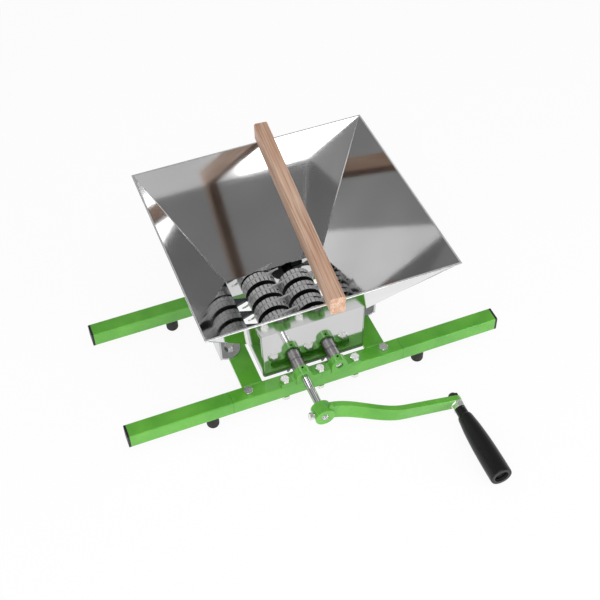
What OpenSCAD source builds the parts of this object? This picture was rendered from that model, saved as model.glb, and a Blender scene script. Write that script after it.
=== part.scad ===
// Hand cranked fruit scratter: a bright sheet steel hopper over two geared rollers with hooked
// cutters, bolted to a square tube frame with four arms that rest on a barrel's rim.
// Lengths are millimetres. X runs along the frame, the crank faces -Y and Z is up.

/* [Tube frame] */
// Outside width of the square tubes
tube_w = 25; // [22:0.5:32]
// Wall of the square tubes
tube_wall = 1.5; // [1:0.1:2.5]
// Outside corner radius of the square tubes
tube_corner = 2; // [1.7:0.1:4]
// Length of each middle tube
centre_len = 278; // [250:1:340]
// Distance over the outer faces of the two middle tubes
frame_depth = 236; // [232:1:300]
// Least gap between the box and the tubes
tube_clear = 4; // [2:0.25:6]
// Distance over the ends of the four arms
arm_span = 599; // [480:1:800]
// Length of the narrow end of an arm inside the middle tube
spigot_len = 48; // [42:1:70]
// Gap round the narrow end of an arm
spigot_play = 0.3; // [0.1:0.05:0.5]
// Gap between an arm's shoulder and the middle tube
shoulder_gap = 0.3; // [0.1:0.05:1]
// Distance of each lock bolt from the end of the middle tube
lock_inset = 28; // [22:0.5:36]
// Distance of each rail's inner edge from the frame's middle
rail_in = 85; // [83:0.5:90]
// Width of the two flat rails
rail_w = 32; // [26:0.5:46]
// Thickness of the two flat rails
rail_t = 5; // [3:0.5:8]
// Thickness of an end cap's head
cap_head = 3.5; // [2:0.25:6]
// Length of an end cap's plug
cap_plug = 12; // [8:0.5:20]
// Height of the rubber feet
foot_h = 27; // [15:0.5:40]
// Diameter of the rubber feet
foot_d = 19.5; // [15:0.5:24]
// Radius of the rounded lower edge of a foot
foot_round = 6; // [3:0.25:7]
// Distance of each foot from the frame's middle
foot_x = 171; // [160:1:220]

/* [Bolts] */
// Shank diameter of the frame bolts
bolt_d = 8; // [6:0.5:10]
// Distance across the flats of the frame bolts' heads and nuts
bolt_af = 13; // [11:0.5:17]
// Height of the bolt heads
head_h = 5.3; // [4:0.1:7]
// Height of the nuts
nut_h = 6.5; // [5:0.1:8]
// Gap round a bolt in its hole
bolt_play = 0.25; // [0.1:0.05:0.5]
// Thread that shows below a nut under the rails and lock bolts
short_tail = 3; // [1:0.5:6]
// Thread that shows below the nuts of the bearing bolts
long_tail = 11.5; // [3:0.5:16]

/* [Bearings] */
// Diameter of the round bearing bosses
boss_d = 25.5; // [22:0.5:26.5]
// Length of the bearing bosses
boss_len = 13; // [10:0.5:18]
// Bearing bosses beyond the outer face of their tube
boss_out = 3; // [1:0.25:5]
// Thickness of the bearing castings' lugs
lug_t = 8; // [5:0.5:10]
// Depth of the bearing castings' lugs
lug_depth = 14; // [12:0.5:18]
// Casting beyond the axis of its outer bolt
lug_over = 8; // [7:0.5:12]
// Radius of the hollow corner between a boss and its lug
lug_fillet = 5; // [2:0.5:6]
// Distance of the bearing bolts outward from the tubes' middle line
bearing_out = 6.5; // [3:0.5:6.5]
// Diameter of the oil hole on each boss
oil_d = 3.5; // [2.5:0.5:5]
// Distance of the oil hole from the inner end of its boss
oil_in = 4; // [3:0.5:9]
// Gap between the two castings at their shared bolt
casting_gap = 0.4; // [0.3:0.05:1]
// Running gap between a shaft and its bore, on the radius
running_fit = 0.06; // [0.03:0.01:0.09]

/* [Box and hopper] */
// Thickness of the steel sheet
sheet = 1.2; // [1:0.1:1.6]
// Length of the box over its outer faces, along the frame
box_x = 166; // [162:1:180]
// Depth of the box over its outer faces
box_y = 177; // [172:1:181]
// Outside radius of the box's corners
box_corner = 4; // [2:0.25:6]
// Length of sheet that turns round each corner of the box
corner_run = 8; // [7:0.5:12]
// Height of the box, which is the throat's height over the frame
throat_h = 39; // [36:0.5:48]
// Distance from the frame's middle to the throat's front edge
throat_front = 53; // [50:0.5:56]
// Distance of the box and rollers from the frame's middle, along the frame
unit_shift = 2.5; // [0:0.25:4]
// Length of the hopper's mouth over its folded edge, along the frame
rim_x = 372; // [330:1:410]
// Depth of the hopper's mouth over its folded edge
rim_y = 352; // [320:1:380]
// Height of the hopper's rim over the frame
rim_h = 227; // [200:1:250]
// Height of the folded edge
hem_h = 6; // [4:0.25:10]
// Thickness of the fold outside the sheet
hem_t = 1.3; // [1.1:0.1:2]

/* [Hopper brackets] */
// Thickness of the two bracket plates
bracket_t = 3; // [2:0.25:4]
// Distance of a bracket's upright from its rail
bracket_out = 10; // [6:0.5:14]
// Radius of a bracket's round foot
tab_r = 22; // [19:0.5:28]
// Distance of the foot's middle from the upright's face
tab_in = 12; // [8:0.5:16]
// Distance of the bracket bolt from the upright's face
bracket_bolt_in = 17; // [15:0.5:20]
// Distance of the brackets forward of the frame's middle
bracket_y = 13; // [5:0.5:25]
// Width of an upright
upright_w = 38; // [30:0.5:50]
// Length of the flap that lies under the hopper's side
flap_len = 24; // [15:0.5:35]

/* [Rollers] */
// Distance between the two shafts
shaft_gap = 57; // [55:0.25:59]
// Height of the shafts over the frame
shaft_h = 13.4; // [13:0.1:14]
// Diameter of the shafts
shaft_d = 12; // [10:0.5:14]
// Gap between a shaft and what is fixed on it, on the radius
seat_play = 0.05; // [0.03:0.01:0.1]
// Number of drums on the driven roller
drum_count = 5; // [3:1:5]
// Gap between the two rows of drums
nip = 1.4; // [1:0.1:3]
// Width of a drum
drum_w = 20; // [17:0.25:20.5]
// Gap between two drums on one roller
drum_gap = 9; // [7.5:0.25:9.5]
// Number of flutes round a drum
flute_count = 24; // [12:1:36]
// Depth of the flutes
flute_depth = 0.9; // [0.5:0.1:2.5]
// Diameter of the spacers between the drums
spacer_d = 17; // [15:0.5:17]
// Least gap between the end drums and the box
drum_clear = 2; // [1:0.25:4]
// Thickness of the cutter plates
cutter_t = 3; // [2:0.1:3.2]
// Gap between a cutter's tip and the other roller's spacers
tip_clear = 1.2; // [0.8:0.1:3]
// Length of the blunt land at a hook's tip
tip_land = 1; // [0.5:0.1:2]
// Radius of the hollow front edge of a hook
hook_hollow = 14; // [11:0.5:20]
// Diameter of the sleeves between the gears and the front bearings
sleeve_d = 19; // [18:0.5:21]
// Gap round spacers and sleeves where they pass a wall
wall_hole_gap = 1; // [0.6:0.1:2]
// Gap between a turning end and the bearing beside it
end_play = 0.4; // [0.3:0.05:1]
// Shaft beyond the bearing bosses
shaft_over = 1; // [0:0.25:3]

/* [Gears] */
// Number of teeth of each gear
teeth = 19; // [15:2:23]
// Width of the gears
gear_w = 20; // [12:0.5:22]
// Gap between two meshing tooth flanks
gear_play = 0.35; // [0.3:0.01:0.5]
// Least gap between the gears and the hopper's front side
gear_clear = 1; // [0.5:0.1:3]

/* [Scraper combs] */
// Thickness of the flat combs
comb_t = 4.5; // [2.5:0.25:6]
// Width of the strip that carries a comb's teeth
comb_strip = 4; // [2:0.25:4.5]
// Width of a comb's teeth at their root
tooth_root = 19; // [10:0.5:22]
// Width of a comb's teeth between the drums
tooth_w = 3.5; // [2:0.1:5]
// Gap between a tooth's end and the spacer before it
tooth_gap = 1.2; // [0.8:0.1:3]

/* [Crank] */
// Distance of the crank's hub from the frame
hub_out = 63.5; // [30:0.5:80]
// Least distance of the crank's hub forward of the hopper's rim
rim_clear = 5; // [4:0.5:12]
// Length of the crank's hub
hub_len = 21; // [18:0.5:32]
// Diameter of the crank's hub
hub_d = 30; // [28:0.5:34]
// Thickness of the crank arm
arm_t = 9; // [7:0.5:12]
// Height of the arm at the hub
arm_root_h = 27; // [22:0.5:28]
// Height of the arm at its end
arm_end_h = 20; // [18:0.5:24]
// Distance between the shaft and the grip's axis
crank_r = 211; // [160:1:230]
// Depth of the hub's face before the arm's face
face_step = 7.5; // [2:0.5:9]
// Forward step of the arm
dogleg = 29.5; // [15:0.5:40]
// Diameter of the screw that holds the hub
set_d = 6; // [5:0.5:8]
// Screw that stands out of the hub
set_out = 4; // [2:0.5:8]
// Distance across the flats of that screw's head
set_af = 10; // [8:0.5:12]
// Height of that screw's head
set_head = 4; // [3:0.25:6]
// Diameter of the small boss on the hub
pad_d = 8; // [6:0.5:12]
// Height of that boss
pad_h = 6; // [2:0.25:8]

/* [Grip] */
// Length of the grip
grip_len = 130; // [110:1:150]
// Greatest diameter of the grip
grip_d = 33.5; // [30:0.5:38]
// Diameter of the grip's spindle
spindle_d = 10; // [8:0.5:11]
// Distance across the flats of the spindle's nuts
spindle_af = 17; // [15:0.5:18]
// Height of the nut before the arm
spindle_nut_h = 8; // [6:0.5:10]
// Height of the domed nut behind the arm
dome_h = 12; // [10:0.5:14]
// Diameter of the washers
washer_d = 20; // [19:0.5:24]
// Thickness of the washers
washer_t = 1.5; // [1:0.1:2]
// Diameter of the hollow in the grip's end
hollow_d = 24; // [22:0.5:25]
// Depth of the hollow in the grip's end
hollow_len = 14; // [10:0.5:20]
// Length of the ring in the hollow
ring_len = 5; // [3:0.25:8]
// Wall of the ring in the hollow
ring_wall = 1; // [0.8:0.1:1.6]

/* [Pusher] */
// Width of the wooden bar
bar_w = 21; // [15:0.5:35]
// Height of the wooden bar
bar_h = 30; // [20:0.5:45]
// Length of the wooden bar
bar_len = 380; // [365:1:420]
// Least length of the bar beyond the rim at each end
bar_over = 5; // [3:0.5:12]
// Radius of its long edges
bar_round = 3; // [1:0.25:6]
// Distance of the bar from the frame's middle, along the frame
bar_x = 10.5; // [-20:0.5:30]
// Distance of the bar forward of the frame's middle
bar_y = 7.5; // [0:0.5:12]
// Gap between the resting bar and the rim
bar_gap = 0.3; // [0.3:0.05:0.5]

/* [Hidden] */
PI_DEG = 180 / PI;
round_fn = 64;
// Reach of cutting shapes past the surfaces that they open
past = tube_w / 10;

// Rollers
drum_d = shaft_gap - nip;
drum_r = drum_d / 2;
pitch = drum_w + drum_gap;
drum_run = (drum_count - 1) / 2;
drums_len = drum_count * pitch - drum_gap;
hook_r = shaft_gap - spacer_d / 2 - tip_clear;
core_r = drum_r - flute_depth / 2;
// Least hollow radius, as a share of a hook's length
hollow_share = 0.7;
hollow_r = max(hook_hollow, hollow_share * (hook_r - core_r));
drive_x = unit_shift - shaft_gap / 2;
idler_x = unit_shift + shaft_gap / 2;

// Box and frame, widened where the rollers or the box need it
box_w = max(box_x, shaft_gap + 2 * (hook_r + tooth_gap + comb_strip + sheet));
box_l = max(box_y, 2 * (drums_len + 2 * drum_clear - throat_front + sheet));
frame_y = max(frame_depth, box_l + 2 * (tube_w + tube_clear));
rail_x = max(rail_in, box_w / 2 + unit_shift - sheet);
rail_out = rail_x + rail_w;
tube_y = (frame_y - tube_w) / 2;
centre_end = centre_len / 2;
lock_x = centre_end - lock_inset;
spigot_w = tube_w - 2 * tube_wall - 2 * spigot_play;
upright_face = rail_out + bracket_out;
bracket_bolt_x = upright_face - bracket_bolt_in;
bearing_y = tube_y + bearing_out;
boss_face = frame_y / 2 + boss_out;
boss_back = boss_face - boss_len;
boss_y = boss_face - boss_len / 2;

// Gears
part_back = throat_front + sheet;
gear_y = (box_l / 2 - sheet + part_back) / 2;
gear_face = gear_y + gear_w / 2;
gear_back = gear_y - gear_w / 2;
gear_module = shaft_gap / teeth;
pressure = 20;
gear_r = shaft_gap / 2;
gear_tip = gear_r + gear_module;
gear_root = gear_r - 1.25 * gear_module;
gear_base = gear_r * cos(pressure);
gear_low = max(gear_base, gear_root);
play_turn = gear_play / cos(pressure) / 2 / gear_r * PI_DEG;

// Hopper, with a throat that clears the gears below its front side
hem_all = sheet + hem_t;
mouth_x = rim_x / 2 - hem_all;
mouth_y = rim_y / 2 - hem_all;
gear_rise = (gear_back - part_back) * (rim_h - throat_h) / (mouth_y - throat_front);
throat_z = max(throat_h, shaft_h + gear_tip + gear_clear - gear_rise);
slope_h = rim_h - throat_z;
throat_x = box_w / 2 - sheet;
throat_back = box_l / 2 - sheet;
front_slope = (mouth_y - throat_front) / slope_h;
side_slope = (mouth_x - throat_x) / slope_h;
roller_y = (throat_back - throat_front) / 2;

// Turn of the cutters' hooks from upright, towards the other roller
hook_turn = 43;
// Further turn of the second roller's hooks
idler_turn = 90;
// Fall of the crank at rest
crank_fall = 12;
// Turn of the hub's small boss from the crank arm
pad_turn = 57;
// Skew of the wooden bar
bar_skew = 4.65;

hub_back = max(frame_y / 2 + hub_out, rim_y / 2 + rim_clear);
hub_face = hub_back + hub_len;
root_face = hub_face - face_step;
arm_face = root_face + dogleg;
grip_at = arm_face + 2 * washer_t + spindle_nut_h + end_play;
grip_end = grip_at + grip_len;
spindle_head = grip_end - hollow_len;
// Place of the hub's screw and boss along the hub
set_share = 0.66;
set_y = hub_back + hub_len * set_share;
// Stations of the arm's forward step along the crank
step_shares = [0.055, 0.58];
// Length and radius of the grip's outline
grip_shares = [[0, 0.48], [0.015, 0.51], [0.09, 0.53], [0.1, 0.58], [0.12, 0.67], [0.2, 0.75],
  [0.3, 0.84], [0.45, 0.92], [0.6, 0.97], [0.8, 1], [0.965, 1], [0.99, 0.985], [1, 0.955]];

bar_all = max(bar_len, (rim_y + 2 * (bar_y + bar_over)) / cos(bar_skew));
bar_reach = bar_all / 2 * cos(bar_skew) + (bar_w / 2 - bar_round) * sin(bar_skew);
front_reach = grip_end;
back_reach = bar_reach - bar_y;
rig_y = (front_reach - back_reach) / 2;
rig_z = foot_h + tube_w;

// Moves the frame's middle and upper face to the standing position
module placed() {
  translate([0, rig_y, rig_z]) children();
}

// Rectangle with round corners
module soft_rect(w, h, r) {
  square([w - 2 * r, h], center = true);
  square([w, h - 2 * r], center = true);
  for (x = [-1, 1], y = [-1, 1])
    translate([x * (w / 2 - r), y * (h / 2 - r)])
      circle(r = r, $fn = round_fn);
}

// Drawing in the XZ plane, made w thick about a given y
module across(y, w) {
  translate([0, y + w / 2, 0])
    rotate([90, 0, 0])
      linear_extrude(w)
        children();
}

// Round bar along Y from one y to another
module round_bar(d, y0, y1) {
  translate([0, y1, 0])
    rotate([90, 0, 0])
      cylinder(h = y1 - y0, d = d, $fn = round_fn);
}

// Round tube along Y from one y to another
module round_tube(d, bore, y0, y1) {
  difference() {
    round_bar(d, y0, y1);
    round_bar(bore, y0 - past, y1 + past);
  }
}

// Square tube along X with its upper face at zero
module box_tube(x0, x1, w, wall, r) {
  translate([x0, 0, -tube_w / 2])
    rotate([90, 0, 90])
      linear_extrude(x1 - x0)
        difference() {
          soft_rect(w, w, r);
          soft_rect(w - 2 * wall, w - 2 * wall, r - wall);
        }
}

// Upright hole for a frame bolt
module bolt_hole(depth) {
  translate([0, 0, -depth - past])
    cylinder(h = depth + 2 * past, d = bolt_d + 2 * bolt_play, $fn = round_fn);
}

// Six sided head with a bevelled upper rim, standing on zero
module hex_head(af, h) {
  intersection() {
    cylinder(h = h, r = af / sqrt(3), $fn = 6);
    cylinder(h = h, r1 = af / 2 + h * tan(60), r2 = af / 2, $fn = round_fn);
  }
}

// Bolt that stands with its head on zero and ends at the given depth
module frame_bolt(depth) {
  hex_head(bolt_af, head_h);
  translate([0, 0, -depth])
    cylinder(h = depth + head_h / 2, d = bolt_d, $fn = round_fn);
}

// Nut that hangs below zero round a bolt
module frame_nut() {
  difference() {
    rotate([180, 0, 0]) hex_head(bolt_af, nut_h);
    translate([0, 0, -nut_h - past])
      cylinder(h = nut_h + 2 * past, d = bolt_d + 2 * seat_play, $fn = round_fn);
  }
}

// Places of the four lock bolts
module at_locks() {
  for (x = [-1, 1], y = [-1, 1])
    translate([x * lock_x, y * tube_y, 0]) children();
}

// Places of the bearing bolts on one tube, or on both
module at_bearing_bolts(sides) {
  for (i = [-1, 0, 1], y = sides)
    translate([unit_shift + i * shaft_gap, y * bearing_y, 0]) children();
}

module middle_tube(side) {
  difference() {
    translate([0, side * tube_y, 0])
      box_tube(-centre_end, centre_end, tube_w, tube_wall, tube_corner);
    for (x = [-1, 1])
      translate([x * lock_x, side * tube_y, 0]) bolt_hole(tube_w);
    at_bearing_bolts([side]) bolt_hole(tube_w);
  }
}

module front_tube() {
  color("#4e9e30") placed() middle_tube(-1);
}

module rear_tube() {
  color("#4e9e30") placed() middle_tube(1);
}

module rail(side) {
  difference() {
    translate([side * (rail_x + rail_w / 2), 0, -rail_t / 2])
      cube([rail_w, frame_y - 2 * tube_w, rail_t], center = true);
    translate([side * bracket_bolt_x, -bracket_y, 0]) bolt_hole(rail_t);
  }
}

module left_rail() {
  color("#4e9e30") placed() rail(-1);
}

module right_rail() {
  color("#4e9e30") placed() rail(1);
}

// Outer arm with its shoulder and its narrow end, on the +X side
module arm() {
  shoulder = centre_end + shoulder_gap;
  difference() {
    union() {
      box_tube(shoulder, arm_span / 2, tube_w, tube_wall, tube_corner);
      box_tube(centre_end - spigot_len, shoulder + tube_wall, spigot_w, tube_wall,
        tube_corner);
      box_tube(shoulder, shoulder + tube_wall, tube_w - tube_wall, 2 * tube_wall,
        2 * tube_wall + spigot_play);
    }
    translate([lock_x, 0, 0]) bolt_hole(tube_w);
  }
}

module front_left_arm() {
  color("#4e9e30") placed() translate([0, -tube_y, 0]) mirror([1, 0, 0]) arm();
}

module front_right_arm() {
  color("#4e9e30") placed() translate([0, -tube_y, 0]) arm();
}

module rear_left_arm() {
  color("#4e9e30") placed() translate([0, tube_y, 0]) mirror([1, 0, 0]) arm();
}

module rear_right_arm() {
  color("#4e9e30") placed() translate([0, tube_y, 0]) arm();
}

// Plug with a square head, on the +X side
module end_cap() {
  plug_w = tube_w - 2 * tube_wall - spigot_play;
  translate([arm_span / 2, 0, -tube_w / 2])
    rotate([90, 0, 90]) {
      linear_extrude(cap_head)
        soft_rect(tube_w, tube_w, tube_corner);
      translate([0, 0, -cap_plug])
        linear_extrude(cap_plug + cap_head / 2)
          difference() {
            soft_rect(plug_w, plug_w, tube_wall);
            square(plug_w - 4 * tube_wall, center = true);
          }
    }
}

module arm_end_caps() {
  color("#161616") placed()
    for (y = [-1, 1], flip = [0, 1])
      translate([0, y * tube_y, 0])
        mirror([flip, 0, 0])
          end_cap();
}

// Round foot with a rounded lower edge, hanging from zero
module foot() {
  rotate_extrude($fn = round_fn) {
    translate([0, foot_round - foot_h]) square([foot_d / 2, foot_h - foot_round]);
    translate([0, -foot_h]) square([foot_d / 2 - foot_round, foot_h]);
    intersection() {
      translate([foot_d / 2 - foot_round, foot_round - foot_h])
        circle(r = foot_round, $fn = round_fn);
      translate([0, -foot_h]) square([foot_d / 2, foot_h]);
    }
  }
}

module rubber_feet() {
  color("#1c1c1c") placed()
    for (x = [-1, 1], y = [-1, 1])
      translate([x * foot_x, y * tube_y, -tube_w])
        foot();
}

module lock_bolts() {
  color("#c8c8c4") placed() at_locks() frame_bolt(tube_w + nut_h + short_tail);
}

module lock_nuts() {
  color("#c8c8c4") placed() at_locks() translate([0, 0, -tube_w]) frame_nut();
}

// Bearing casting round a shaft at x zero: its outer lug points to -X, its inner one ends at
// the bolt that it shares with its neighbour; the lugs are hollowed behind the boss for a sleeve
module bearing() {
  outer = shaft_gap / 2 + lug_over;
  inner = (shaft_gap - casting_gap) / 2;
  difference() {
    union() {
      across(-bearing_y, lug_depth)
        difference() {
          union() {
            translate([-outer, 0]) square([outer + inner, lug_t]);
            translate([-boss_d / 2 - lug_fillet, 0])
              square([boss_d + 2 * lug_fillet, lug_t + lug_fillet]);
          }
          for (x = [-1, 1])
            translate([x * (boss_d / 2 + lug_fillet), lug_t + lug_fillet])
              circle(r = lug_fillet, $fn = round_fn);
        }
      across(-boss_y, boss_len) {
        translate([0, shaft_h]) circle(d = boss_d, $fn = round_fn);
        translate([-boss_d / 2, 0]) square([boss_d, shaft_h]);
      }
    }
    translate([0, 0, -boss_d])
      across(-boss_y, boss_len + past) square([2 * boss_d, 2 * boss_d], center = true);
    translate([0, 0, shaft_h])
      round_bar(shaft_d + 2 * running_fit, -boss_face - past, -boss_back + past);
    translate([0, 0, shaft_h])
      round_bar(sleeve_d + 2 * wall_hole_gap, -boss_back, -boss_back + lug_depth);
    translate([0, -boss_back - oil_in, shaft_h])
      cylinder(h = boss_d, d = oil_d, $fn = round_fn);
    for (x = [-1, 1])
      translate([x * shaft_gap / 2, -bearing_y, lug_t]) bolt_hole(lug_t);
  }
}

module front_left_bearing() {
  color("#4e9e30") placed() translate([drive_x, 0, 0]) bearing();
}

module front_right_bearing() {
  color("#4e9e30") placed() translate([idler_x, 0, 0]) mirror([1, 0, 0]) bearing();
}

module rear_left_bearing() {
  color("#4e9e30") placed() mirror([0, 1, 0]) translate([drive_x, 0, 0]) bearing();
}

module rear_right_bearing() {
  color("#4e9e30") placed()
    mirror([0, 1, 0]) translate([idler_x, 0, 0]) mirror([1, 0, 0]) bearing();
}

module bearing_bolts() {
  color("#c8c8c4") placed()
    at_bearing_bolts([-1, 1])
      translate([0, 0, lug_t])
        frame_bolt(lug_t + tube_w + nut_h + long_tail);
}

module bearing_nuts() {
  color("#c8c8c4") placed() at_bearing_bolts([-1, 1]) translate([0, 0, -tube_w]) frame_nut();
}

// Height of the front slope's under side at a given distance forward
function front_under(y) = throat_z + (y - part_back) / front_slope;

// Plan of the box's wall
module box_plan() {
  difference() {
    soft_rect(box_w, box_l, box_corner);
    soft_rect(box_w - 2 * sheet, box_l - 2 * sheet, box_corner - sheet);
  }
}

// Wall all round the box, of the given height
module box_shell(h) {
  translate([unit_shift, 0, 0])
    linear_extrude(h)
      box_plan();
}

// Space above the front slope's under side
module over_slope() {
  top = 2 * rim_h;
  side = [[-part_back, throat_z], [-part_back - (top - throat_z) * front_slope, top],
    [box_l, top], [box_l, throat_z]];
  translate([-rim_x, 0, 0])
    rotate([90, 0, 90])
      linear_extrude(2 * rim_x)
        polygon(side);
}

// Round openings for whatever sits on the two shafts
module shaft_holes(d, y, w) {
  for (x = [drive_x, idler_x])
    translate([x, 0, shaft_h])
      round_bar(d + 2 * wall_hole_gap, y - w, y + w);
}

module box_front_wall() {
  color("#c9cbcd") placed()
    difference() {
      intersection() {
        box_shell(rim_h);
        translate([0, corner_run - box_l / 2, 0])
          translate([unit_shift, -box_l / 2, 0])
            cube([2 * box_w, box_l, 4 * rim_h], center = true);
      }
      over_slope();
      shaft_holes(sleeve_d, -box_l / 2, corner_run);
    }
}

module box_back_wall() {
  color("#c9cbcd") placed()
    difference() {
      intersection() {
        box_shell(throat_z);
        translate([unit_shift, box_l - corner_run, 0])
          cube([2 * box_w, box_l, 4 * rim_h], center = true);
      }
      shaft_holes(spacer_d, box_l / 2, corner_run);
    }
}

// Side wall between the box's two ends, with its upper front corner under the slope
module box_side_wall(side) {
  color("#c9cbcd") placed()
    difference() {
      intersection() {
        box_shell(rim_h);
        translate([unit_shift + side * box_w / 2, 0, 0])
          cube([box_w, box_l - 2 * corner_run, 4 * rim_h], center = true);
      }
      over_slope();
    }
}

module box_left_wall() {
  box_side_wall(-1);
}

module box_right_wall() {
  box_side_wall(1);
}

module gear_partition() {
  color("#c9cbcd") placed()
    difference() {
      translate([unit_shift - throat_x, -part_back, 0])
        cube([2 * throat_x, sheet, throat_z]);
      shaft_holes(spacer_d, -part_back, box_corner);
    }
}

// Corner of the hopper's sheet at a share of its height, moved out by some thickness;
// x and y are the side's signs
function edge_x(share, out) = throat_x + (mouth_x - throat_x) * share + out;
function front_y(share, out) = throat_front + (mouth_y - throat_front) * share + out;
function back_y(share, out) = throat_back + (mouth_y - throat_back) * share + out;
function edge_y(y, share, out) = y < 0 ? -front_y(share, out) : back_y(share, out);
function corner(x, y, share, out) =
  [unit_shift + x * edge_x(share, out), edge_y(y, share, out), throat_z + slope_h * share];

// One side of the hopper between two of its corners: a sheet with its upper edge folded out
module hopper_side(a, b) {
  hem_low = 1 - hem_h / slope_h;
  profile = [[0, 0], [0, sheet], [hem_low, sheet], [hem_low, hem_all], [1, hem_all], [1, 0]];
  count = len(profile);
  points = [for (end = [a, b], p = profile) corner(end[0], end[1], p[0], p[1])];
  long_faces = [for (i = [0:count - 1])
    let (j = (i + 1) % count) [i, count + i, count + j, j]];
  end_faces = [[for (i = [0:count - 1]) i], [for (i = [0:count - 1]) 2 * count - 1 - i]];
  color("#d4d6d8") placed() polyhedron(points, concat(long_faces, end_faces));
}

module hopper_left_wall() {
  hopper_side([-1, -1], [-1, 1]);
}

module hopper_right_wall() {
  hopper_side([1, 1], [1, -1]);
}

module hopper_back_wall() {
  hopper_side([-1, 1], [1, 1]);
}

module hopper_front_wall() {
  hopper_side([1, -1], [-1, -1]);
}

// Height of a side slope's under side at a given x on one side of the frame
function side_under(side, x) =
  throat_z - seat_play + (x - side * unit_shift - throat_x - sheet) / side_slope;

// Bracket on the rail, with an upright and a flap under the hopper's side
module bracket(side) {
  far = upright_face + bracket_t;
  fold = side_under(side, upright_face);
  flap_x = upright_face - flap_len * side_slope / sqrt(1 + side_slope * side_slope);
  flap_drop = bracket_t * sqrt(1 + side_slope * side_slope) / side_slope;
  difference() {
    union() {
      intersection() {
        translate([upright_face - tab_in, -bracket_y, 0])
          cylinder(h = bracket_t, r = tab_r, $fn = round_fn);
        translate([0, -bracket_y - tab_r, 0])
          cube([far, 2 * tab_r, bracket_t]);
      }
      across(-bracket_y, upright_w)
        polygon([[upright_face, 0], [far, 0], [far, side_under(side, far)],
          [flap_x, side_under(side, flap_x)], [flap_x, side_under(side, flap_x) - flap_drop],
          [upright_face, fold - flap_drop]]);
    }
    translate([bracket_bolt_x, -bracket_y, bracket_t]) bolt_hole(bracket_t);
  }
}

module left_bracket() {
  color("#c9cbcd") placed() mirror([1, 0, 0]) bracket(-1);
}

module right_bracket() {
  color("#c9cbcd") placed() bracket(1);
}

module bracket_bolts() {
  color("#c8c8c4") placed()
    for (x = [-1, 1])
      translate([x * bracket_bolt_x, -bracket_y, bracket_t])
        frame_bolt(bracket_t + rail_t + nut_h + short_tail);
}

module bracket_nuts() {
  color("#c8c8c4") placed()
    for (x = [-1, 1])
      translate([x * bracket_bolt_x, -bracket_y, -rail_t])
        frame_nut();
}

// Flat comb on a side wall at the shafts' height, drawn for the driven roller; its teeth narrow
// from the wall to the drums' edge and run between the drums to the spacers
module comb(first, last) {
  wall = drive_x - unit_shift + throat_x;
  front = wall_hole_gap - throat_front;
  back = box_l / 2 - corner_run;
  neck = drum_r + tooth_gap;
  reach = spacer_d / 2 + tooth_gap;
  low = shaft_h - comb_t / 2;
  intersection() {
    translate([-wall, front, low]) cube([wall, back - front, comb_t]);
    union() {
      translate([-wall, front, low]) cube([comb_strip, back - front, comb_t]);
      for (i = [first:last])
        translate([0, roller_y + i * pitch, low])
          linear_extrude(comb_t)
            polygon([[-wall, -tooth_root / 2], [-wall, tooth_root / 2], [-neck, tooth_w / 2],
              [-reach, tooth_w / 2], [-reach, -tooth_w / 2], [-neck, -tooth_w / 2]]);
    }
  }
}

module left_comb() {
  color("#a8abad") placed()
    translate([drive_x, 0, 0])
      comb(0.5 - drum_run, drum_run - 0.5);
}

module right_comb() {
  color("#a8abad") placed()
    translate([idler_x, 0, 0])
      mirror([1, 0, 0])
        comb(-drum_run, drum_run);
}

// Plain shaft between two y values with bevelled ends
module shaft(y0, y1) {
  bevel = running_fit * 10;
  round_bar(shaft_d, y0 + bevel, y1 - bevel);
  translate([0, y1, 0])
    rotate([90, 0, 0])
      cylinder(h = bevel, r1 = shaft_d / 2 - bevel, r2 = shaft_d / 2, $fn = round_fn);
  translate([0, y0 + bevel, 0])
    rotate([90, 0, 0])
      cylinder(h = bevel, r1 = shaft_d / 2, r2 = shaft_d / 2 - bevel, $fn = round_fn);
}

module on_drive() {
  placed() translate([drive_x, 0, shaft_h]) children();
}

module on_idler() {
  placed() translate([idler_x, 0, shaft_h]) children();
}

module drive_shaft() {
  color("#9a9c9e") on_drive() shaft(-hub_face, boss_face + shaft_over);
}

module idler_shaft() {
  color("#9a9c9e") on_idler() shaft(-boss_face + 2 * shaft_over, boss_face + shaft_over);
}

// Outline of a drum: a circle with shallow one-sided flutes
module drum_outline() {
  notch = 130 / flute_count;
  difference() {
    circle(r = drum_r, $fn = 2 * round_fn);
    for (i = [0:flute_count - 1])
      rotate(i * 360 / flute_count)
        polygon([[drum_r - flute_depth, 0], [drum_r * cos(notch), drum_r * sin(notch)],
          [drum_r, drum_r * sin(notch)], [drum_r + flute_depth, 0]]);
    circle(d = shaft_d + 2 * seat_play, $fn = round_fn);
  }
}

// Drums of one roller, each in two halves with a cutter between them
module drums(first, last) {
  half_w = (drum_w - cutter_t) / 2;
  for (i = [first:last], side = [-1, 1])
    across(roller_y + i * pitch + side * (half_w + cutter_t) / 2, half_w)
      drum_outline();
}

function toward(turn, r) = [r * sin(turn), r * cos(turn)];

// Middle of the circle that hollows a hook between its tip and its root
function hollow_at(tip, root) =
  let (run = root - tip, half = norm(run) / 2, side = [run[1], -run[0]] / norm(run))
  (tip + root) / 2 - side * sqrt(hollow_r * hollow_r - half * half);

// Hooked cutter with two tips, the first turned from upright towards +X
module cutter_outline(turn) {
  back = acos(drum_r / hook_r);
  difference() {
    union() {
      circle(r = core_r, $fn = 2 * round_fn);
      polygon([
        for (half = [0, 180], corner = [0:2])
          corner == 0 ? toward(turn + half - back, drum_r)
          : corner == 1 ? toward(turn + half, hook_r)
          : toward(turn + half, core_r)]);
    }
    for (half = [0, 180])
      translate(hollow_at(toward(turn + half, hook_r - tip_land),
        toward(turn + half, core_r - tip_land)))
        circle(r = hollow_r, $fn = 2 * round_fn);
    circle(d = shaft_d + 2 * seat_play, $fn = round_fn);
  }
}

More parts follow.
